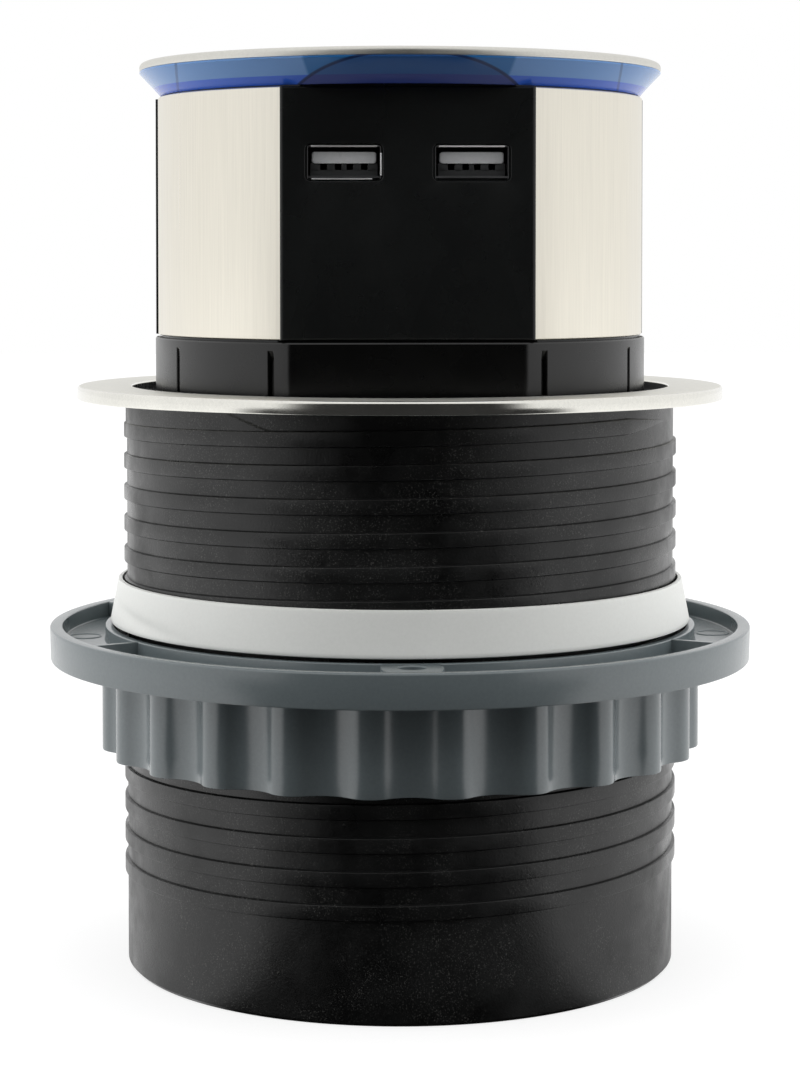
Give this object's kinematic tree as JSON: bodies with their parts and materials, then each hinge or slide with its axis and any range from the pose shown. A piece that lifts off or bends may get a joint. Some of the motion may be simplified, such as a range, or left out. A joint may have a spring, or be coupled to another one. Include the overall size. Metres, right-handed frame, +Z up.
{
  "type": "pop-up worktop socket unit",
  "caption": "Round power tower that rises from a threaded worktop sleeve with trim ring, light ring, charging ports, earthed sockets and a fluted clamp nut below.",
  "frame": {"origin": "centre of the tube's bottom edge, on the surface it stands on", "axes": "+Z up along the tube, -Y towards the face with the charging ports"},
  "size_m": [0.1304, 0.1304, 0.1662],
  "materials": {
    "black_plastic": "matte, slightly speckled",
    "brushed_steel": "brushed",
    "bright_metal": "bright",
    "brass": "plain",
    "grey_plastic": "satin",
    "white_rubber": "matte",
    "black_rubber": "matte",
    "blue_lens": "clear tinted",
    "white_plastic": "satin",
    "circuit_board": "lacquered"
  },
  "bodies": {
    "housing": {"housing_tube": "black_plastic", "trim_ring": "brushed_steel", "base_cap": "black_plastic", "base_cap_screws": "bright_metal", "cable_grommet": "black_rubber", "gas_spring_rod": "bright_metal", "latch_catch": "black_plastic"},
    "tower": {"cable_clamp": "black_plastic", "cap_plate": "brushed_steel", "contact_block_left": "black_plastic", "contact_block_right": "black_plastic", "crown": "black_plastic", "earth_clips_left": "brass", "earth_clips_right": "brass", "gas_spring_cylinder": "bright_metal", "lamps": "white_plastic", "latch_striker": "bright_metal", "light_board": "circuit_board", "light_ring": "blue_lens", "pin_contacts_left": "brass", "pin_contacts_right": "brass", "socket_face_left": "black_plastic", "socket_face_right": "black_plastic", "socket_well_left": "black_plastic", "socket_well_right": "black_plastic", "steel_panel_back": "brushed_steel", "steel_panel_left": "brushed_steel", "steel_panel_right": "brushed_steel", "terminal_block": "black_plastic", "tower_base": "black_plastic", "tower_base_screws": "bright_metal", "tower_bolts": "bright_metal", "tower_frame": "black_plastic", "tower_skirt": "black_plastic", "usb_board": "circuit_board", "usb_face": "black_plastic", "usb_insulators": "black_plastic", "usb_shell_left": "bright_metal", "usb_shell_right": "bright_metal", "usb_tongue_left": "white_plastic", "usb_tongue_right": "white_plastic"},
    "seal": {"seal_ring": "white_rubber"},
    "nut": {"clamp_nut": "grey_plastic"},
    "shutter_right": {"shutter_right": "black_plastic"},
    "shutter_left": {"shutter_left": "black_plastic"}
  },
  "joints": [
    {"name": "tower_lift", "type": "slide", "parent": "housing", "child": "tower", "axis": [0, 0, 1], "range_m": [-0.0614, 0], "stiffness_N_per_m": 150, "springref_m": 0.06},
    {"name": "seal_lift", "type": "slide", "parent": "housing", "child": "seal", "axis": [0, 0, 1], "range_m": [-0.0288, 0.0288]},
    {"name": "nut_turn", "type": "hinge", "parent": "seal", "child": "nut", "pos_m": [0, 0, 0.051], "axis": [0, 0, 1], "range_deg": [-1800, 1800]},
    {"name": "shutter_right_turn", "type": "hinge", "parent": "tower", "child": "shutter_right", "pos_m": [0.01689, 0.00975, 0.13805], "axis": [0.866, 0.5, 0], "range_deg": [0, 25], "stiffness_Nm_per_rad": 0.002, "springref_deg": -17.19},
    {"name": "shutter_left_turn", "type": "hinge", "parent": "tower", "child": "shutter_left", "pos_m": [-0.01689, 0.00975, 0.13805], "axis": [-0.866, 0.5, 0], "range_deg": [0, 25], "stiffness_Nm_per_rad": 0.002, "springref_deg": -17.19}
  ],
  "couplings": [
    {"joint": "seal_lift", "follows": "nut_turn", "m_per_rad": 0.00091514}
  ]
}
